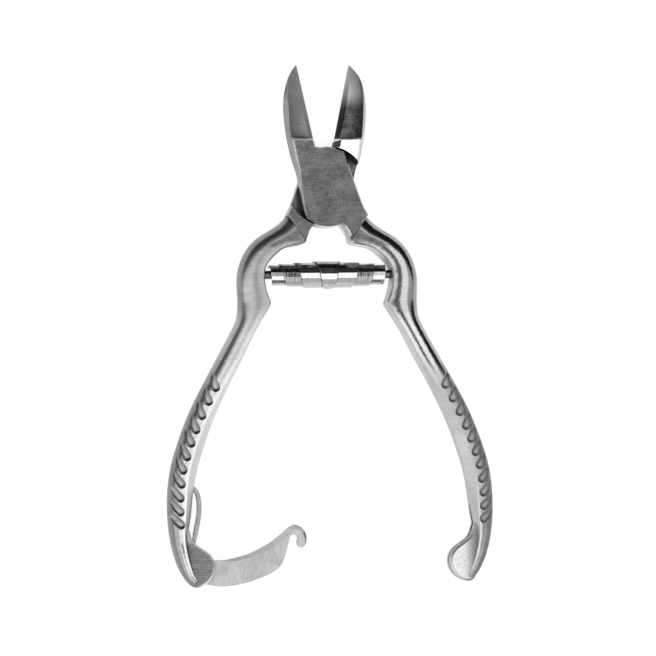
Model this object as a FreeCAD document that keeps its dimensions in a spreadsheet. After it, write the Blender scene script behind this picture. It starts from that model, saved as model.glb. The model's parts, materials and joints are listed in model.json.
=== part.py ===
import FreeCAD, Part
import math
import os

os.makedirs("parts", exist_ok=True)
V = FreeCAD.Vector
doc = FreeCAD.newDocument("ToenailNippers")

# Driving dimensions in millimetres and degrees. Origin: pivot axis on the resting plane.
DIMENSIONS = {
    "jointThickness": 8.0,
    "lapRadius": 10.6,
    "lapClearance": 0.15,
    "edgeBevel": 0.4,
    "halfOpening": 12.0,
    "edgeHeight": 2.3,
    "pivotRadius": 3.0,
    "runningClearance": 0.03,
    "pinBlindCover": 0.9,
    "lobeThickness": 5.6,
    "slotClearance": 0.06,
    "catchThickness": 1.5,
    "catchPinRadius": 1.1,
    "keeperPinRadius": 1.0,
    "hookRadius": 25.8,
    "hookAngle": 17.8,
    "tangRadius": 3.1,
    "springRadius": 3.87,
    "springStrip": 0.22,
    "springPitch": 0.29,
    "springTurns": 3.6,
    "springAxisY": 23.2,
    "pegRadius": 1.1,
    "pegLength": 5.4,
    "leafStrip": 1.0,
    "leafWidth": 3.2,
    "leafTongue": 1.36,
    "grooveRadius": 1.4,
}
sheet = doc.addObject("Spreadsheet::Sheet", "Dimensions")
for row, (name, value) in enumerate(DIMENSIONS.items(), start=1):
    sheet.set("A%d" % row, name)
    sheet.set("B%d" % row, str(value))
    sheet.setAlias("B%d" % row, name)
doc.recompute()

T = float(sheet.jointThickness)
MID = T / 2
WIDEST = MID + 0.8
EDGE = float(sheet.edgeHeight)
R = float(sheet.lapRadius)
CATCH_PIN = (-34.9, -101.0)


def spline(points):
    curve = Part.BSplineCurve()
    curve.interpolate([V(*p) for p in points])
    return curve.toShape()


def polygon(points, z):
    corners = [V(x, y, z) for x, y in points]
    return Part.makePolygon(corners + corners[:1])


def prism(points, low, high):
    return Part.Face(polygon(points, low)).extrude(V(0, 0, high - low))


def circle_points(radius, start, end, count):
    step = (end - start) / (count - 1)
    angles = [math.radians(start + step * k) for k in range(count)]
    return [(radius * math.cos(a), radius * math.sin(a)) for a in angles]


def cylinder(x, y, radius, low, high):
    return Part.makeCylinder(radius, high - low, V(x, y, low))


# ---- Jaw and lap plate of the front lever ----
# Each run of the outline is (x, y, draft); draft is how far the faces step in from WIDEST.
CUT_SLOPE = math.tan(math.radians(float(sheet.halfOpening)))
TIP = (-33.3 * CUT_SLOPE, 33.3, 0.1)
HEEL = (-10.35 * CUT_SLOPE, 10.35, 0.1)


def plate_runs():
    jaw_back = [TIP, (-8.65, 31.2, 0.15), (-9.8, 29.0, 0.4), (-10.65, 26.4, 0.9),
                (-11.1, 23.4, 1.3), (-11.2, 20.5, 1.4), (-11.0, 17.5, 1.4), (-10.65, 14.2, 1.3),
                (-10.2, 11.6, 1.15), (-9.45, 8.2, 1.0), (-8.5, 5.2, 0.7), (-7.85, 3, 0.4),
                (-7.35, 0, 0.1), (-6.75, -4.5, 0), (-5.85, -8.84, 0)]
    lower = [jaw_back[-1]] + [(x, y, 0) for x, y in circle_points(R, 246, 280, 4)]
    lower = lower + [(3.5, -10.0, 0.1)]
    step_in = [lower[-1], (4.5, -11.4, 0.4), (5.3, -13.4, 0.5), (6.0, -14.7, 0.2)]
    root = [step_in[-1], (11.0, -7.6, 0.2)]
    right = [root[-1], (9.4, -4.7, 0.1), (8.0, -1.0, 0), (6.9, 2.2, 0), (5.6, 6.7, 0),
             (4.8, 9.45, 0)]
    top = [right[-1]] + [(x, y, 0) for x, y in circle_points(R, 70, 96, 3)] + [HEEL]
    return [jaw_back, lower, step_in, root, right, top, [HEEL, TIP]]


def plate_wire(runs, z, draft, bevel):
    """The outline at height z, stepped in by each point's share of the draft and the bevel."""
    ring = [p for run in runs for p in run[:-1]]
    moved = {}
    for k, (x, y, d) in enumerate(ring):
        before, after = ring[k - 1], ring[(k + 1) % len(ring)]
        one = V(x - before[0], y - before[1], 0).normalize()
        two = V(after[0] - x, after[1] - y, 0).normalize()
        along = (one + two).normalize()
        inward = V(-along.y, along.x, 0)
        part = draft * d + (0 if (x, y) in (TIP[:2], HEEL[:2]) else bevel)
        moved[(x, y)] = (x + inward.x * part, y + inward.y * part, z)
    edges = [spline([moved[p[:2]] for p in run]) for run in runs]
    return Part.Wire(edges)


def plate_blank():
    runs = plate_runs()
    bevel = float(sheet.edgeBevel)
    levels = [(0, 1, bevel), (bevel, 0.9, 0), (WIDEST, 0, 0), (T - bevel, 0.9, 0), (T, 1, bevel)]
    wires = [plate_wire(runs, *level) for level in levels]
    return Part.makeLoft(wires, True, True)


def jaw_taper(start, middle, end, past):
    """Cutter that thins the jaw towards its tip along a long arc; past is beyond the face."""
    start, middle, end = [V(-20, y, z) for y, z in (start, middle, end)]
    arc = Part.Arc(start, middle, end).toShape()
    loop = [end, V(-20, 40, end.z), V(-20, 40, past), V(-20, start.y, past), start]
    wire = Part.Wire([arc] + [Part.makeLine(a, b) for a, b in zip(loop, loop[1:])])
    return Part.Face(wire).extrude(V(20, 0, 0))


def hollow_section(y, rim, valley, shoulder):
    """Section of the hollow-ground face at one height along the jaw."""
    cut = -y * CUT_SLOPE
    rim, valley, shoulder = [V(x, y, z) for x, z in (rim, valley, shoulder)]
    lip, out = V(cut, y, EDGE + 0.12), V(cut + 1.2, y, EDGE)
    high, back = V(cut + 1.2, y, T + 4), V(rim.x, y, T + 4)
    corners = [shoulder, lip, out, high, back, rim]
    lines = [Part.makeLine(a, b) for a, b in zip(corners, corners[1:])]
    return Part.Wire([Part.Arc(rim, valley, shoulder).toShape()] + lines)


def jaw_hollow():
    """Cutters for the ledge above the joint and the hollow-ground face up to the jaw's tip."""
    ledge = hollow_section(12.4, (-9.3, T + 0.3), (-6.8, T + 0.1), (-3.9, T - 0.1))
    low = hollow_section(13.2, (-9.5, T - 1.0), (-7.2, T - 2.7), (-4.1, T - 3.8))
    middle = hollow_section(23.0, (-10.0, T - 1.9), (-8.3, T - 3.1), (-6.2, T - 4.0))
    high = hollow_section(34.8, (-8.05, EDGE + 0.8), (-7.9, EDGE + 0.6), (-7.65, EDGE + 0.4))
    return Part.makeLoft([ledge, low], True, True), Part.makeLoft([low, middle, high], True, False)


def back_bevel():
    """Cutter for the narrow bevel behind the cutting edge."""
    rings = []
    for y in (12.4, 34.8):
        cut = -y * CUT_SLOPE
        corners = [(cut, EDGE - 0.12), (cut - 1.3, -0.2), (cut + 1.2, -0.2), (cut + 1.2, EDGE)]
        rings.append(Part.makePolygon([V(x, y, z) for x, z in corners + corners[:1]]))
    return Part.makeLoft(rings, True, True)


def heel_slope():
    """Cutter that leans the jaw's root back from the cutting line above the joint."""
    rings = []
    for y in (10.45, 13.0):
        cut = -y * CUT_SLOPE
        corners = [(cut + 0.4, EDGE - 0.4), (cut - 1.3, T + 0.1), (cut + 0.4, T + 0.1)]
        rings.append(Part.makePolygon([V(x, y, z) for x, z in corners + corners[:1]]))
    return Part.makeLoft(rings, True, True)


def mirrored(shape):
    """The same shape on the other side of the tool's long axis."""
    return shape.mirror(V(0, 0, 0), V(1, 0, 0))


def back_face(shape):
    """The same shape on the other face of the tool."""
    return shape.mirror(V(0, 0, MID), V(0, 0, 1))


# ---- Bow and handle of the front lever ----
# Rows: outer point, inner point, half depth, facet share of the width, half height of inner land
STATIONS = [
    ((9.6, -6.6), (6.1, -12.9), 3.60, 0.05, 3.1),
    ((11.9, -8.8), (7.6, -15.3), 3.75, 0.05, 3.2),
    ((15.1, -11.2), (11.4, -16.1), 3.85, 0.05, 3.3),
    ((18.8, -13.5), (14.3, -18.1), 3.95, 0.05, 3.3),
    ((21.6, -16.4), (16.3, -20.3), 4.00, 0.05, 3.3),
    ((23.4, -19.9), (17.1, -22.4), 4.00, 0.05, 3.3),
    ((24.3, -23.8), (17.2, -24.8), 4.00, 0.05, 3.3),
    ((24.3, -27.6), (16.6, -28.0), 4.00, 0.05, 3.3),
    ((24.2, -29.6), (15.9, -29.9), 4.00, 0.06, 3.2),
    ((24.2, -30.6), (15.6, -30.9), 4.00, 0.06, 3.2),
    ((24.25, -31.7), (16.1, -32.1), 4.00, 0.06, 3.2),
    ((24.5, -34.2), (17.8, -34.8), 4.00, 0.06, 3.1),
    ((25.5, -36.9), (20.1, -38.7), 4.00, 0.07, 3.0),
    ((27.8, -41.2), (22.6, -43.8), 4.00, 0.09, 2.7),
    ((31.4, -47.7), (26.1, -50.5), 4.00, 0.15, 2.3),
    ((34.9, -54.1), (29.2, -56.8), 4.00, 0.21, 2.0),
    ((38.1, -60.6), (32.1, -63.4), 4.00, 0.26, 1.8),
    ((40.6, -67.0), (34.2, -69.3), 4.00, 0.28, 1.8),
    ((42.6, -73.5), (35.9, -75.0), 4.00, 0.28, 1.8),
    ((43.6, -80.2), (37.0, -81.0), 4.00, 0.26, 1.8),
    ((43.7, -86.8), (37.7, -86.9), 4.00, 0.24, 1.8),
    ((43.15, -92.4), (38.4, -91.4), 3.95, 0.22, 1.8),
    ((42.0, -97.5), (38.2, -95.9), 3.70, 0.18, 1.8),
    ((40.15, -101.9), (37.3, -100.1), 3.20, 0.16, 1.7),
    ((37.8, -104.9), (35.9, -103.3), 3.00, 0.16, 1.6),
]


def handle_section(outer, inner, half, share, land):
    """Rounded D section: narrow inner land, sloping facet, crowned outer side."""
    start, end = V(inner[0], inner[1], MID), V(outer[0], outer[1], MID)
    across = end - start
    width = across.Length
    across.normalize()

    def at(s, h):
        return start + across * (s * width) + V(0, 0, h)

    profile = [(0, 0.95), (0.28, 1), (0.72, 0.83), (0.86, 0.62), (0.955, 0.34), (1, 0)]
    crown = [(share + c * (1 - share), h * half) for c, h in profile]
    ring = crown + [(s, -h) for s, h in reversed(crown[:-1])]
    edges = [Part.makeLine(at(0, -land), at(0, land)), Part.makeLine(at(0, land), at(*ring[0])),
             spline([at(*p) for p in ring]), Part.makeLine(at(*ring[-1]), at(0, -land))]
    return Part.Wire(edges)


def handle_blank():
    return Part.makeLoft([handle_section(*row) for row in STATIONS], True, False)


def lobe_blank():
    """Flat-faced drop shape at the handle's end."""
    rim = [(40.1, -86.5), (38.7, -88.8), (37.9, -91.2), (37.0, -93.4), (35.1, -95.0),
           (33.0, -96.5), (31.7, -98.4), (31.5, -100.5), (32.2, -102.6), (33.6, -104.2),
           (35.2, -105.1), (36.8, -105.3), (38.1, -104.3), (38.8, -102.0), (39.4, -98.6),
           (40.0, -95.0), (40.6, -90.5)]
    half = float(sheet.lobeThickness) / 2
    outline = spline([(x, y, MID - half) for x, y in rim + rim[:1]])
    solid = Part.Face(Part.Wire([outline])).extrude(V(0, 0, 2 * half))
    rims = [e for e in solid.Edges if abs(e.BoundBox.ZLength) < 1e-6]
    return solid.makeChamfer(0.55, rims)


def lobe_slot():
    """Saw slot at mid depth, open on the inner side and running up the neck."""
    half = float(sheet.catchThickness) / 2 + float(sheet.slotClearance)
    deep = [(28, -85), (37.6, -85), (38.5, -89), (38.9, -93), (38.9, -98), (38.6, -102),
            (36.9, -105), (36, -109), (28, -109)]
    return prism(deep, MID - half, MID + half)


def groove(outer, inner, along):
    """Round-bottomed grip cut along an arc that slants inward and down the crown to the ridge."""
    across = (V(inner[0], inner[1], 0) - V(outer[0], outer[1], 0)).normalize()
    start, middle, end = [V(outer[0], outer[1], MID + high) + across * depth + along * run
                          for depth, high, run in ((-0.7, 3.1, -1.9), (1.2, 4.35, -0.3),
                                                   (3.1, 4.75, 1.2))]
    radius = float(sheet.grooveRadius)
    path = Part.Wire([Part.Arc(start, middle, end).toShape()])
    tangent = path.Edges[0].tangentAt(path.Edges[0].FirstParameter)
    ring = Part.Wire([Part.makeCircle(radius, start, tangent)])
    return path.makePipeShell([ring], True, True).fuse(Part.makeSphere(radius, end))


def grooves():
    """Eleven cuts spread evenly along the grip."""
    cuts = []
    for k in range(11):
        place = 14.45 + 0.57 * k
        row = int(place)
        mix = place - row
        one, two = STATIONS[row], STATIONS[row + 1]
        outer, inner = [tuple(a + (b - a) * mix for a, b in zip(one[n], two[n])) for n in (0, 1)]
        along = (V(*two[0], 0) - V(*one[0], 0)).normalize()
        cut = groove(outer, inner, along)
        cuts += [cut, back_face(cut)]
    return cuts


def lever(bore, recess):
    """Right-handed lever; bore is (radius, low, high) and recess the heights of its lap cut."""
    front_taper = jaw_taper((14.0, T), (24.0, T - 1.4), (34.2, EDGE + 0.9), T + 5)
    back_taper = jaw_taper((20.0, 0), (28.0, 0.35), (34.2, EDGE - 0.9), -5)
    jaw = plate_blank().cut([front_taper, back_taper, *jaw_hollow(), back_bevel(),
                             heel_slope()])
    handle = handle_blank()
    for cut in grooves():
        handle = handle.cut(cut)
    solid = jaw.fuse([handle, lobe_blank()])
    lap = cylinder(0, 0, R + float(sheet.lapClearance), *recess)
    return solid.cut([lap, lobe_slot(), cylinder(0, 0, *bore)])


def keeper_place():
    """Where the keeper pin must sit for the hook to reach it with the jaws shut."""
    turn = math.radians(2 * float(sheet.halfOpening))
    shut = math.radians(-9.2)
    reach = float(sheet.hookRadius)
    x = CATCH_PIN[0] + reach * math.cos(shut)
    y = CATCH_PIN[1] + reach * math.sin(shut)
    return (x * math.cos(turn) - y * math.sin(turn), x * math.sin(turn) + y * math.cos(turn))


# ---- Barrel spring: two arms of a V-shaped strip, rolled inward towards the ends ----
REACH = [(0, 1.3), (0.5, 3.7), (1, 6.45), (1.5, 9.0), (2, 10.9), (2.5, 12.6), (3, 14.6),
         (3.5, 15.7), (4, 15.9)]


def reach(turn):
    for (a, low), (b, high) in zip(REACH, REACH[1:]):
        if a <= turn <= b:
            return low + (high - low) * (turn - a) / (b - a)
    return REACH[-1][1]


def strip(first, last, left, right):
    """Rolled strip between two turn counts; left and right give its edges along the axis."""
    count = int((last - first) * 16) + 2
    turns = [first + (last - first) * k / (count - 1) for k in range(count)]
    thick, pitch = float(sheet.springStrip), float(sheet.springPitch)

    def edge(side, inset):
        points = []
        for t in turns:
            radius = float(sheet.springRadius) - pitch * t - inset
            a = 2 * math.pi * t
            y = -float(sheet.springAxisY) - radius * math.cos(a)
            points.append((side(t), y, MID + radius * math.sin(a)))
        return spline(points)

    corners = [edge(left, 0), edge(right, 0), edge(right, thick), edge(left, thick)]
    faces = [Part.makeRuledSurface(a, b) for a, b in zip(corners, corners[1:] + corners[:1])]
    for end in (0, -1):
        ring = [c.Vertexes[end].Point for c in corners]
        faces.append(Part.Face(Part.makePolygon(ring + ring[:1])))
    solid = Part.Solid(Part.makeShell(faces))
    solid.fix(1e-5, 1e-6, 1e-4)
    if solid.Volume < 0:
        solid.reverse()
    return solid


def spring_shape():
    split, width = 0.85, 5.3
    last = float(sheet.springTurns)
    centre = strip(0, split, lambda t: -reach(t), reach)
    right = strip(split, last, lambda t: reach(t) - width, reach)
    left = strip(split, last, lambda t: -reach(t), lambda t: width - reach(t))
    return centre.fuse([left, right])


# ---- Catch ----
def catch_outline():
    """Runs of the catch's outline: upper edge, hook tip, notch, lower edge and round tang."""
    px, py = CATCH_PIN
    tang = [(px + x, py + y) for x, y in circle_points(float(sheet.tangRadius), 62, 262, 9)]
    upper = [tang[0], (-31.2, -98.35), (-28.5, -98.3), (-26.0, -97.85), (-22.5, -96.9),
             (-19.7, -95.75), (-16.1, -93.75), (-13.4, -91.65), (-11.6, -90.15),
             (-10.0, -89.45), (-8.4, -89.95), (-7.15, -91.4), (-6.8, -93.2), (-7.4, -95.0)]
    turn = math.radians(float(sheet.hookAngle))
    reach = float(sheet.hookRadius)
    notch = (px + reach * math.cos(turn), py + reach * math.sin(turn))
    bite = float(sheet.keeperPinRadius) + 0.12
    inner = [(notch[0] + x, notch[1] + y) for x, y in circle_points(bite, -8, 188, 7)]
    tip = [upper[-1], (-8.3, -95.5), (-9.15, -95.0), inner[0]]
    lower = [inner[-1], (-12.0, -95.2), (-12.7, -97.6), (-13.7, -99.8), (-15.4, -101.4),
             (-19.2, -103.2), (-22.7, -104.3), (-26.2, -105.0), (-29.9, -105.2),
             (-32.6, -104.8), tang[-1]]
    return [upper, tip, inner, lower, tang[::-1]]


# Width of the sloped band at each point of the upper edge after the first
BAND = [0.05, 0.3, 0.7, 1.0, 1.15, 1.35, 1.4, 1.3, 1.15, 0.95, 0.75, 0.5, 0.05]


def catch_band(front):
    """Cutter for the sloped band along the front upper edge, widest before the hook."""
    upper = catch_outline()[0]
    curve = Part.BSplineCurve()
    curve.interpolate([V(x, y, 0) for x, y in upper])
    slope, past = 0.5, 0.3
    rings = []
    for (x, y), wide in zip(upper[1:], BAND):
        along = curve.tangent(curve.parameter(V(x, y, 0)))[0]
        out = V(-along.y, along.x, 0)
        start = V(x, y, front) - out * (1.15 * wide) + V(0, 0, 0.15 * wide * slope)
        end = V(x, y, front) + out * past
        ring = [start, end - V(0, 0, slope * (wide + past)), end + V(0, 0, 1), start]
        rings.append(Part.makePolygon(ring))
    return Part.makeLoft(rings, True, True)


def catch_shape():
    half = float(sheet.catchThickness) / 2
    runs = [[(x, y, MID - half) for x, y in run] for run in catch_outline()]
    solid = Part.Face(Part.Wire([spline(run) for run in runs])).extrude(V(0, 0, 2 * half))
    bore = float(sheet.catchPinRadius) + float(sheet.runningClearance)
    return solid.cut([cylinder(*CATCH_PIN, bore, 0, T), catch_band(MID + half)])


# ---- Leaf spring ----
def ribbon(points, thick, low, high):
    """Strip of even thickness that follows points in plan between two heights."""
    curve = Part.BSplineCurve()
    curve.interpolate([V(x, y, low) for x, y in points])
    first, last = curve.FirstParameter, curve.LastParameter
    sides = [[], []]
    for k in range(25):
        u = first + (last - first) * k / 24
        normal = curve.tangent(u)[0].cross(V(0, 0, 1)) * (thick / 2)
        for side, sign in zip(sides, (1, -1)):
            side.append(curve.value(u) + normal * sign)
    one, two = [spline(side) for side in sides]
    ends = [Part.makeLine(sides[0][n], sides[1][n]) for n in (0, -1)]
    wire = Part.Wire(Part.__sortEdges__([one, ends[1], two, ends[0]]))
    return Part.Face(wire).extrude(V(0, 0, high - low))


def leaf_shape():
    path = [(-39.4, -78.2), (-37.6, -78.6), (-36.0, -80.2), (-35.3, -82.8), (-35.3, -85.6),
            (-35.8, -88.8), (-36.4, -91.6), (-37.0, -94.4), (-37.4, -97.6)]
    thick = float(sheet.leafStrip)
    wide, slim = float(sheet.leafWidth) / 2, float(sheet.leafTongue) / 2
    strip_body = ribbon(path, thick, MID - wide, MID + wide)
    beside = [Part.makeBox(8, 9, wide, V(-41, -100.6, low))
              for low in (MID + slim, MID - slim - wide)]
    return strip_body.cut(beside)


# ---- Features ----
def feature(label, shape):
    made = doc.addObject("Part::Feature", label)
    made.Label = label
    made.Shape = shape
    return made


def pin(label, radius, length, place, axis=(0, 0, 1)):
    made = doc.addObject("Part::Cylinder", label)
    made.Label = label
    made.setExpression("Radius", radius)
    made.setExpression("Height", length)
    made.Placement = FreeCAD.Placement(V(*place), FreeCAD.Rotation(V(0, 0, 1), V(*axis)))
    return made


pivot, running = float(sheet.pivotRadius), float(sheet.runningClearance)
cover = float(sheet.pinBlindCover)
lobe = float(sheet.lobeThickness)
lobe_low, lobe_high = MID - lobe / 2, MID + lobe / 2
peg_x, axis_y = 14.2, -float(sheet.springAxisY)
peg = float(sheet.pegRadius)
peg_length = float(sheet.pegLength)
keeper = keeper_place()

front = lever((pivot + running, 0, T - cover), (-1, MID))
front = front.cut([cylinder(*keeper, float(sheet.keeperPinRadius), lobe_low - 1, lobe_high + 1),
                   Part.makeCylinder(peg, peg_length, V(peg_x, axis_y, MID), V(1, 0, 0))])
rear = mirrored(lever((pivot, 0, T + 1), (MID, T + 1)))
leaf = leaf_shape()
rear = rear.cut([cylinder(*CATCH_PIN, float(sheet.catchPinRadius), lobe_low - 1, lobe_high + 1),
                 Part.makeCylinder(peg, peg_length, V(-peg_x, axis_y, MID), V(-1, 0, 0)), leaf])

feature("front_lever", front)
feature("rear_lever", rear)
feature("barrel_spring", spring_shape())
feature("catch", catch_shape())
feature("catch_leaf_spring", leaf)
pin("pivot_pin", "Dimensions.pivotRadius",
    "Dimensions.jointThickness - Dimensions.pinBlindCover - 0.1", (0, 0, 0))
pin("catch_pin", "Dimensions.catchPinRadius", "Dimensions.lobeThickness",
    (*CATCH_PIN, lobe_low))
pin("keeper_pin", "Dimensions.keeperPinRadius", "Dimensions.lobeThickness",
    (*keeper, lobe_low))
pin("spring_peg_left", "Dimensions.pegRadius", "Dimensions.pegLength",
    (-peg_x, axis_y, MID), (-1, 0, 0))
pin("spring_peg_right", "Dimensions.pegRadius", "Dimensions.pegLength",
    (peg_x, axis_y, MID), (1, 0, 0))
doc.recompute()

for made in doc.Objects:
    bad = [s for s in made.State if s in ("Invalid", "Error")]
    if bad:
        raise RuntimeError("%s: %s" % (made.Label, bad))
    if not hasattr(made, "Shape"):
        continue
    shape = made.Shape
    if shape.isNull() or not shape.isValid() or not shape.Solids:
        raise RuntimeError("%s has no valid solid" % made.Label)
    print(made.Label, len(shape.Solids), round(shape.Volume, 1), shape.BoundBox)
    shape.exportStep("parts/%s.step" % made.Label)
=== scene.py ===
import json
import math

import bmesh
import bpy
from mathutils import Matrix, Vector


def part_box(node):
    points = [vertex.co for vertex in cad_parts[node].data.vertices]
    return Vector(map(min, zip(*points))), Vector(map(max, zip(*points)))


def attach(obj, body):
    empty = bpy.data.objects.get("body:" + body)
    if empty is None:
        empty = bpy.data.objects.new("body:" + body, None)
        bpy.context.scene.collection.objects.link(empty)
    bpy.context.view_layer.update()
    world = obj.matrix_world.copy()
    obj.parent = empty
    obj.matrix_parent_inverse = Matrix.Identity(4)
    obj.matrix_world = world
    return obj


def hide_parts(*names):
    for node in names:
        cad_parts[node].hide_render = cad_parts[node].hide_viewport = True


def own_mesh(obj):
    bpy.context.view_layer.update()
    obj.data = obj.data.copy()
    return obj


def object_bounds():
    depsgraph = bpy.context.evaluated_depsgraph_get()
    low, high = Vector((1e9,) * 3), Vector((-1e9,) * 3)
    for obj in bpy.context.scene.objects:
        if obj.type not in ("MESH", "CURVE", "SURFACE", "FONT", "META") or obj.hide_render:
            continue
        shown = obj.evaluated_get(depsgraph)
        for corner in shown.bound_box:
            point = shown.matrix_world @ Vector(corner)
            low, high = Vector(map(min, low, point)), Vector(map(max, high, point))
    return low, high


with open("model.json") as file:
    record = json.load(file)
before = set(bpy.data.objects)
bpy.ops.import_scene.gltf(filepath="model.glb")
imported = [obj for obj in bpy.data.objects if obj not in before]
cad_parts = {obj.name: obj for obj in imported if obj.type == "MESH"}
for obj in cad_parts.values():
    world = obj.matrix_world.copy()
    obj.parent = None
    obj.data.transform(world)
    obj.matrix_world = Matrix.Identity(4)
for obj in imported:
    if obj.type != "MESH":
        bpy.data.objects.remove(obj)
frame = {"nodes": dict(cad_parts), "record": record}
CAD_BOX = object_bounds()
MM = 0.001

# Where each finish and each painted highlight, reflection and shade begins and where it is full,
# in metres along the axis in its name
JOINT_Y, JAW_Y, UPPER_JAW_Y = (-0.0165, -0.0155), (0.0122, 0.0124), (0.0205, 0.0265)
TIP_Y, LEDGE_LOW_Y, LEDGE_TOP_Y = (0.0230, 0.0260), (0.0115, 0.0117), (0.0141, 0.0137)
ROOT_TOP_Y, ROOT_LOW_Y, ROOT_X = (0.0126, 0.0124), (0.003, 0.004), (0.001, 0.002)
BOW_Y, GRIP_Y, LEAF_Y = (-0.038, -0.031), (-0.042, -0.055), (-0.05, -0.06)
LOBE_Y, RIGHT_LOBE_X, LEFT_X = (-0.086, -0.088), (0.0345, 0.0385), (-0.001, -0.004)

# How far below LOBE_Y the left lobe begins, and how far from the hinge the root begins
LEFT_LOBE_DROP, ROOT_RADIUS = 0.0065, (0.0107, 0.0108)

# The same for x times the x part of the surface's direction, which is below zero on the inner
# sides of the levers and above zero on their outer sides
INNER, OUTER, FLANK = (-0.006, -0.012), (0.002, 0.012), (0.002, 0.004)

# The part of the surface's direction along one axis at which each finish and each painted light
# and shade begins and is full
LEVEL, TILTED, STEEP = (0.985, 0.998), (0.5, 0.6), (0.6, 0.5)
ROOT_UP, ROOT_LEFT, LEDGE_TIPWARD = (0.3, 0.5), (-0.1, -0.3), (0.25, 0.45)

# Base colours as grey: the joint's and the left lobe's darkest and lightest, the left lobe's being
# a painted dark reflection, the right lobe's left and right side as a painted reflection, the root
# turned up as a painted highlight and turned left as a painted dark reflection, then the painted
# highlight on the ledge and the painted dark reflection on the jaws' outer flanks near the tips
JOINT_TONE, LEFT_LOBE_DARK_REFLECTION, RIGHT_LOBE_PAINTED_REFLECTION = (0.065, 0.16), (0.10, 0.19), (0.62, 0.2)
ROOT_PAINTED_LIGHT, LEDGE_PAINTED_HIGHLIGHT, FLANK_DARK_REFLECTION = (0.9, 0.02), 0.95, 0.12

# What is added to the base colour on the right lever and on the left; the last is for both. The
# inner-facing sides' lift is painted light, the grips' lifts are a crest tone with a painted
# highlight on the left and painted shade on the outer-facing sides, and the upper jaws' lift is a
# painted reflection
INNER_PAINTED_LIGHT, GRIP_CREST_TONE_AND_HIGHLIGHT, BOW_LIFT = (0.12, 0.22), (-0.06, 0.08), (-0.07, -0.12)
JAW_LIFT, UPPER_JAW_PAINTED_LIGHT, GRIP_OUTER_PAINTED_SHADE = (-0.04, 0.19), (0.45, 0.02), -0.16

# Openness at which painted shade in a hollow begins and at which it is darkest, in general and on
# the left grip, then the share of the tone this painted shade takes, in general and on the right
# and left grips
OPEN, CLOSED = (0.97, 0.995), (0.55, 0.65)
HOLLOW_PAINTED_SHADE, GRIP_HOLLOW_PAINTED_SHADE = 0.9, (0.3, 0.92)

# Roughness, the grips' on the right lever and on the left; the last two are added to it
JOINT_ROUGH, ROOT_ROUGH, LEDGE_ROUGH, INNER_ROUGH = 0.3, 0.45, 0.5, 0.45
GRIP_ROUGH, LEFT_ROUGHER, LEFT_JAW_ROUGHER = (0.5, 0.33), 0.16, 0.32

# World light: walls and soft boxes, then what is left of them in the dark places
WALL, SOFT_BOX = 0.85, 2.3
FLAG_SHARE, LOW_SHARE, PATCH_SHARE = 0.02, 0.06, 0.03

# Where their edges lie, as parts of the direction's unit vector
TOP_BOX_Z, LEFT_BOX_X = (0.68, 0.80), (-0.2, -0.45)
FLAG_SLOPE, FLAG_EDGE = -0.47, (-0.12, 0.05)
LOW_Z, LOW_X = (0.2, 0.08), (0.5, 0.2)
PATCH, PATCH_RADIUS = (0.08, 0.04), (0.12, 0.165)


# ---- Shader helpers ----
class Graph:
    """Node tree with a short call for each kind of node that the shaders share."""

    def __init__(self, tree):
        self.tree = tree

    def feed(self, socket, value):
        if isinstance(value, bpy.types.NodeSocket):
            self.tree.links.new(value, socket)
        else:
            socket.default_value = value

    def node(self, kind, inputs=None, **settings):
        made = self.tree.nodes.new(kind)
        for key, value in settings.items():
            setattr(made, key, value)
        for key, value in (inputs or {}).items():
            self.feed(made.inputs[key], value)
        return made

    def maths(self, operation, *values):
        made = self.tree.nodes.new("ShaderNodeMath")
        made.operation = operation
        for k, value in enumerate(values):
            self.feed(made.inputs[k], value)
        return made.outputs[0]

    def times(self, product, *others):
        for other in others:
            product = self.maths("MULTIPLY", product, other)
        return product

    def lift(self, value, share, amount):
        """Value plus share times amount."""
        return self.maths("MULTIPLY_ADD", share, amount, value)

    def distance(self, x, y):
        return self.maths("SQRT", self.maths("ADD", self.maths("POWER", x, 2.0),
                                             self.maths("POWER", y, 2.0)))

    def ramp(self, value, edges, ends=(0.0, 1.0)):
        """Smooth step from ends[0] at edges[0] to ends[1] at edges[1]."""
        made = self.node("ShaderNodeMapRange", {
            "Value": value, "From Min": edges[0], "From Max": edges[1],
            "To Min": ends[0], "To Max": ends[1]})
        made.interpolation_type = "SMOOTHSTEP"
        return made.outputs["Result"]

    def blend(self, share, first, second):
        return self.node("ShaderNodeMix", {"Factor": share, "A": first, "B": second}).outputs[0]

    def coordinate(self, name):
        return self.tree.nodes.new("ShaderNodeTexCoord").outputs[name]

    def split(self, vector):
        parts = self.node("ShaderNodeSeparateXYZ", {"Vector": vector})
        return [parts.outputs[axis] for axis in "XYZ"]

    def noise(self, place, scale, detail=3.0, roughness=0.5, stretch=None):
        """Noise in object space; scale is in cells per metre, stretch gives each axis's share."""
        if stretch:
            place = self.node("ShaderNodeMapping",
                              {"Vector": place, "Scale": stretch}).outputs[0]
        return self.node("ShaderNodeTexNoise", {
            "Vector": place, "Scale": scale, "Detail": detail,
            "Roughness": roughness}).outputs["Fac"]

    def spread(self, pattern, low, high, edges=(0.3, 0.7)):
        """The middle of a noise pattern, stretched over the range from low to high."""
        return self.ramp(pattern, edges, (low, high))

    def openness(self, distance):
        return self.node("ShaderNodeAmbientOcclusion", {"Distance": distance},
                         samples=6).outputs["AO"]

    def grey(self, value):
        return self.node("ShaderNodeCombineColor",
                         {"Red": value, "Green": value, "Blue": value}).outputs[0]


def new_material(name):
    made = bpy.data.materials.new(name)
    made.use_nodes = True
    g = Graph(made.node_tree)
    g.tree.nodes.clear()
    output = g.node("ShaderNodeOutputMaterial")
    shader = g.node("ShaderNodeBsdfPrincipled")
    g.feed(output.inputs["Surface"], shader.outputs["BSDF"])
    return made, g, shader


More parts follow.
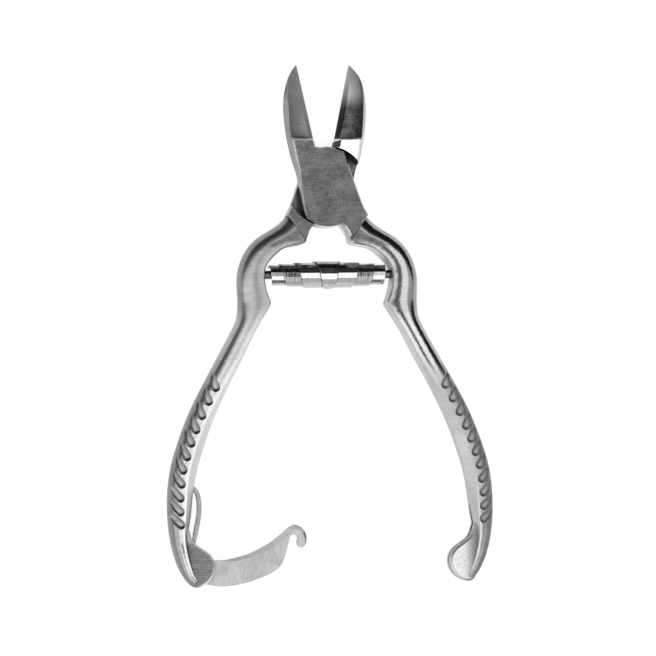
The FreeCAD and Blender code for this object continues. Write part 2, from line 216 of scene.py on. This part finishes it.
def finish_steel(g, shader, tone, rough, height, strength, distance=0.02 * MM, edge=0.12 * MM):
    """Metal of this tone and roughness, with fine relief over slightly rounded edges."""
    g.feed(shader.inputs["Base Color"], g.grey(tone))
    g.feed(shader.inputs["Metallic"], 1.0)
    g.feed(shader.inputs["Roughness"], rough)
    round_edge = g.node("ShaderNodeBevel", {"Radius": edge}, samples=4)
    bump = g.node("ShaderNodeBump", {
        "Height": height, "Strength": strength, "Distance": distance,
        "Normal": round_edge.outputs["Normal"]})
    g.feed(shader.inputs["Normal"], bump.outputs["Normal"])


def forged_steel():
    """Forging with matte joint flats and ground jaws, a brushed left and a buffed right handle,
    and painted highlights, dark reflections and shade on the lobes, root, ledge, jaws, grips,
    inner sides and hollows.
    """
    made, g, shader = new_material("forged_steel")
    place = g.coordinate("Object")
    x, y, _ = g.split(place)
    facing_x, facing_y, facing_z = g.split(g.coordinate("Normal"))
    up = g.maths("ABSOLUTE", facing_z)
    sideways = g.times(x, facing_x)

    left = g.ramp(x, LEFT_X)
    grip = g.ramp(y, GRIP_Y)
    left_grip = g.times(grip, left)
    inner = g.ramp(sideways, INNER)
    outer = g.ramp(sideways, OUTER)
    ground = g.times(g.ramp(up, TILTED), g.ramp(y, JAW_Y))
    joint = g.maths("MAXIMUM", g.times(g.ramp(up, LEVEL), g.ramp(y, JOINT_Y)), ground)
    # Root patch beside the hinge: painted light, and rougher
    root_light_patch = g.times(g.ramp(y, ROOT_TOP_Y), g.ramp(g.distance(x, y), ROOT_RADIUS),
                   g.ramp(x, ROOT_X), g.ramp(y, ROOT_LOW_Y),
                   g.maths("MAXIMUM", g.ramp(up, ROOT_UP), g.ramp(facing_x, ROOT_LEFT)))
    # Ledge where it turns towards the tip: a painted highlight, and rougher
    ledge_highlight = g.times(g.ramp(facing_y, LEDGE_TIPWARD), g.ramp(y, LEDGE_LOW_Y),
                    g.ramp(y, LEDGE_TOP_Y))
    lobe = g.times(g.ramp(up, LEVEL), g.ramp(g.lift(y, left, LEFT_LOBE_DROP), LOBE_Y))
    # Outer flanks of the jaws near the tips: a painted dark reflection
    flank_reflection = g.times(g.ramp(y, TIP_Y), g.ramp(up, STEEP), g.ramp(sideways, FLANK))

    def by_side(pair):
        """The pair's first value on the right lever and its second on the left."""
        return g.ramp(left, (0, 1), pair)

    cloud = g.noise(place, 320, 4, 0.6)
    fine = g.noise(place, 2600, 3, 0.65)
    brushed = g.noise(place, 3600, 2, 0.5, (0.08, 1.0, 0.08))
    grain = g.lift(g.lift(g.times(cloud, 0.4), brushed, 0.2), fine, 0.4)

    bright = g.maths("ADD", g.spread(cloud, 0.35, 0.4), g.spread(brushed, -0.02, 0.02))
    # Inner-facing sides painted lighter: painted light
    bright = g.lift(bright, inner, by_side(INNER_PAINTED_LIGHT))
    # Grips: a crest tone, darker on the right and a painted highlight on the left, and painted
    # shade on the outer-facing sides
    bright = g.lift(bright, grip, g.blend(outer, by_side(GRIP_CREST_TONE_AND_HIGHLIGHT), GRIP_OUTER_PAINTED_SHADE))
    bright = g.lift(bright, g.ramp(y, BOW_Y), by_side(BOW_LIFT))
    # Lobe faces: a painted reflection on the right lobe, light with a darker gradient to its
    # right, and a brushed painted dark reflection on the left lobe
    right_lobe_reflection = g.times(g.ramp(x, RIGHT_LOBE_X, RIGHT_LOBE_PAINTED_REFLECTION),
                         g.spread(fine, 0.75, 1.0, (0.35, 0.65)))
    left_lobe_dark_reflection = g.spread(brushed, *LEFT_LOBE_DARK_REFLECTION)
    bright = g.blend(lobe, bright, g.blend(left, right_lobe_reflection, left_lobe_dark_reflection))
    dull = g.spread(grain, *JOINT_TONE, (0.36, 0.64))
    # Jaws: a tone for each side, plus a painted reflection that makes the right jaw lighter
    # towards its tip
    jaw_tone_and_light = g.lift(by_side(JAW_LIFT), g.ramp(y, UPPER_JAW_Y), by_side(UPPER_JAW_PAINTED_LIGHT))
    dull = g.lift(dull, ground, jaw_tone_and_light)
    # Painted highlight on the root where it turns up, painted dark reflection where it turns left
    root_light_tone = g.ramp(facing_x, ROOT_LEFT, ROOT_PAINTED_LIGHT)
    # Painted highlight on the ledge over the root, joint and polished tones
    tone = g.blend(ledge_highlight, g.blend(root_light_patch, g.blend(joint, bright, dull), root_light_tone), LEDGE_PAINTED_HIGHLIGHT)
    # Painted dark reflection on the jaws' outer flanks near the tips
    tone = g.blend(flank_reflection, tone, FLANK_DARK_REFLECTION)

    # Painted shade: the tone darkens where the surface is closed in, in the grips' grooves and
    # between parts
    painted_hollow_shade = g.ramp(g.openness(2 * MM), (g.blend(left_grip, *OPEN), g.blend(left_grip, *CLOSED)))
    painted_hollow_shade = g.times(painted_hollow_shade, g.blend(grip, HOLLOW_PAINTED_SHADE, by_side(GRIP_HOLLOW_PAINTED_SHADE)))
    tone = g.times(tone, g.maths("SUBTRACT", 1.0, painted_hollow_shade))

    polish = g.lift(g.spread(fine, 0.13, 0.19), left, LEFT_ROUGHER)
    polish = g.maths("MAXIMUM", polish, g.times(inner, INNER_ROUGH))
    polish = g.maths("MAXIMUM", polish, g.times(grip, by_side(GRIP_ROUGH)))
    jaw_rough = g.lift(JOINT_ROUGH, g.times(ground, left), LEFT_JAW_ROUGHER)
    rough = g.blend(root_light_patch, g.blend(joint, polish, jaw_rough), ROOT_ROUGH)
    finish_steel(g, shader, tone, g.blend(ledge_highlight, rough, LEDGE_ROUGH),
                 g.lift(brushed, fine, 0.4), strength=0.12)
    return made


def strip_steel():
    """Rolled strip brushed across its length, with a sloped band painted brighter as a painted
    highlight, and rougher.
    """
    made, g, shader = new_material("strip_steel")
    place = g.coordinate("Object")
    _, facing_y, facing_z = g.split(g.coordinate("Normal"))
    # Sloped band facing up and towards +y: a painted highlight
    sloped_highlight = g.times(g.ramp(facing_y, (0.2, 0.3)), g.ramp(facing_z, (0.6, 0.7)))
    streaks = g.noise(place, 5200, 3, 0.6, (1.0, 0.07, 1.0))
    cloud = g.noise(place, 260, 3)
    tone = g.maths("ADD", g.spread(streaks, 0.29, 0.38), g.spread(cloud, -0.03, 0.03))
    finish_steel(g, shader, g.lift(tone, sloped_highlight, 0.3),
                 g.lift(g.spread(streaks, 0.3, 0.4), sloped_highlight, 0.35), streaks, strength=0.25)
    return made


def spring_steel():
    """Bright spring strip with fine drawn lines and painted shade where its turns close in; the
    leaf on the left handle is duller and gets no painted shade.
    """
    made, g, shader = new_material("spring_steel")
    place = g.coordinate("Object")
    leaf = g.ramp(g.split(place)[1], LEAF_Y)
    lines = g.noise(place, 4200, 3, 0.6, (1.0, 0.08, 0.08))
    # Painted shade where the spring's turns close in; the leaf is kept from it
    turn_shade_keep = g.maths("MAXIMUM", leaf, g.ramp(g.openness(1 * MM), (0.5, 0.9), (0.1, 1.0)))
    tone = g.times(g.lift(g.spread(lines, 0.4, 0.53), leaf, -0.2), turn_shade_keep)
    finish_steel(g, shader, tone, g.lift(g.spread(lines, 0.08, 0.18), leaf, 0.35),
                 lines, strength=0.15, distance=0.03 * MM, edge=0.07 * MM)
    return made


MATERIALS = {"forged_steel": forged_steel(), "strip_steel": strip_steel(),
             "spring_steel": spring_steel()}


def dress_nodes():
    slots = {row["node"]: row["material_slot"] for row in frame["record"]["subparts"]}
    for name, obj in frame["nodes"].items():
        obj.data.materials.clear()
        obj.data.materials.append(MATERIALS[slots[name]])


# ---- Barrel spring: a V-shaped strip rolled round the spring's axis ----
# Half length of the roll after each half turn from its free point, as a share of the whole
ROLL = [0.065, 0.23, 0.41, 0.56, 0.70, 0.82, 0.95, 1.0, 1.0]
ARM = 0.335
TURNS = 3.6
STEPS = 16
STRIP, PITCH, CHAMFER = 0.30 * MM, 0.36 * MM, 0.05 * MM
PROUD = 0.12 * MM
WELD = 0.001 * MM


def roll_share(turn):
    k = min(int(2 * turn), len(ROLL) - 2)
    return ROLL[k] + (ROLL[k + 1] - ROLL[k]) * (2 * turn - k)


def strip_ring(turn, radius, half, centre):
    """Eight corners of one arm's cross-section; its inner edge sits on the middle at first."""
    right = half * roll_share(turn)
    left = max(0.0, right - ARM * half)
    soft = CHAMFER if left > 0 else 0.0
    outer = radius - PITCH * turn
    inner = outer - STRIP
    corners = [(left + soft, outer), (right - CHAMFER, outer), (right, outer - CHAMFER),
               (right, inner + CHAMFER), (right - CHAMFER, inner), (left + soft, inner),
               (left, inner + soft), (left, outer - soft)]
    angle = 2 * math.pi * turn
    return [Vector((x, centre.y - r * math.cos(angle), centre.z + r * math.sin(angle)))
            for x, r in corners], left


def barrel_spring():
    low, high = [Vector(c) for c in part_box("barrel_spring")]
    centre = (low + high) / 2
    radius = (high.z - low.z) / 2 + PROUD
    half = (high.x - low.x) / 2
    mesh = bmesh.new()
    count = int(TURNS * STEPS) + 1
    for side in (1, -1):
        rings = []
        for k in range(count):
            points, left = strip_ring(TURNS * k / (count - 1), radius, half, centre)
            verts = [mesh.verts.new((centre.x + side * p.x, p.y, p.z)) for p in points]
            rings.append((verts, left))
        for (one, gap), (two, _) in zip(rings, rings[1:]):
            for n in range(8):
                if gap == 0 and n in (5, 6, 7):
                    continue
                quad = [one[n], one[(n + 1) % 8], two[(n + 1) % 8], two[n]]
                mesh.faces.new(quad if side > 0 else quad[::-1])
        mesh.faces.new(rings[0][0][::-side])
        mesh.faces.new(rings[-1][0][::side])
    bmesh.ops.remove_doubles(mesh, verts=mesh.verts, dist=WELD)
    bmesh.ops.dissolve_degenerate(mesh, edges=mesh.edges, dist=WELD)
    bmesh.ops.recalc_face_normals(mesh, faces=mesh.faces)
    data = bpy.data.meshes.new("barrel_spring_strip")
    mesh.to_mesh(data)
    mesh.free()
    data.materials.append(MATERIALS["spring_steel"])
    piece = bpy.data.objects.new("barrel_spring_strip", data)
    bpy.context.scene.collection.objects.link(piece)
    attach(piece, "spring")
    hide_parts("barrel_spring")
    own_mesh(piece)


# ---- Floor, light and camera ----
def floor():
    mesh = bpy.data.meshes.new("floor")
    size, drop = 3.0, 0.2 * MM
    mesh.from_pydata([(-size, -size, 0), (size, -size, 0), (size, size, 0), (-size, size, 0)],
                     [], [(0, 1, 2, 3)])
    obj = bpy.data.objects.new("floor", mesh)
    bpy.context.scene.collection.objects.link(obj)
    obj.location.z = CAD_BOX[0][2] - drop
    made, _, shader = new_material("floor")
    shader.inputs["Base Color"].default_value = (0.2, 0.2, 0.2, 1)
    shader.inputs["Roughness"].default_value = 0.9
    shader.inputs["Emission Color"].default_value = (1, 1, 1, 1)
    shader.inputs["Emission Strength"].default_value = 0.86
    obj.data.materials.append(made)


def studio():
    """Soft boxes overhead and at the left, with three dark places that the steel reflects."""
    world = bpy.data.worlds.new("studio")
    bpy.context.scene.world = world
    world.use_nodes = True
    g = Graph(world.node_tree)
    g.tree.nodes.clear()
    output = g.node("ShaderNodeOutputWorld")
    x, y, z = g.split(g.coordinate("Generated"))
    box = g.maths("MAXIMUM", g.ramp(z, TOP_BOX_Z), g.ramp(x, LEFT_BOX_X))
    light = g.ramp(box, (0, 1), (WALL, SOFT_BOX))
    flag = g.ramp(g.lift(y, z, FLAG_SLOPE), FLAG_EDGE)
    light = g.times(light, g.ramp(flag, (0, 1), (1.0, FLAG_SHARE)))
    low = g.times(g.ramp(z, LOW_Z), g.ramp(x, LOW_X))
    light = g.times(light, g.ramp(low, (0, 1), (1.0, LOW_SHARE)))
    away = g.distance(g.maths("ADD", x, -PATCH[0]), g.maths("ADD", y, -PATCH[1]))
    light = g.times(light, g.ramp(away, PATCH_RADIUS, (PATCH_SHARE, 1.0)))
    back = g.node("ShaderNodeBackground", {"Color": g.grey(light), "Strength": 1.0})
    g.feed(output.inputs["Surface"], back.outputs[0])


def camera():
    data = bpy.data.cameras.new("camera")
    obj = bpy.data.objects.new("camera", data)
    bpy.context.scene.collection.objects.link(obj)
    place = Vector((-115.5, -71.55, 700)) * MM
    target = Vector((0, -37.45, 4)) * MM
    roll = math.radians(-1.04)
    data.sensor_width = 36
    data.lens = 145.7
    data.clip_start, data.clip_end = 0.01, 100
    back = (place - target).normalized()
    right = Vector((-math.sin(roll), math.cos(roll), 0)).cross(back).normalized()
    turn = Matrix((right, back.cross(right), back)).transposed()
    obj.matrix_world = Matrix.Translation(place) @ turn.to_4x4()
    bpy.context.scene.camera = obj


bpy.context.scene.view_settings.view_transform = "Standard"
dress_nodes()
barrel_spring()
floor()
studio()
camera()
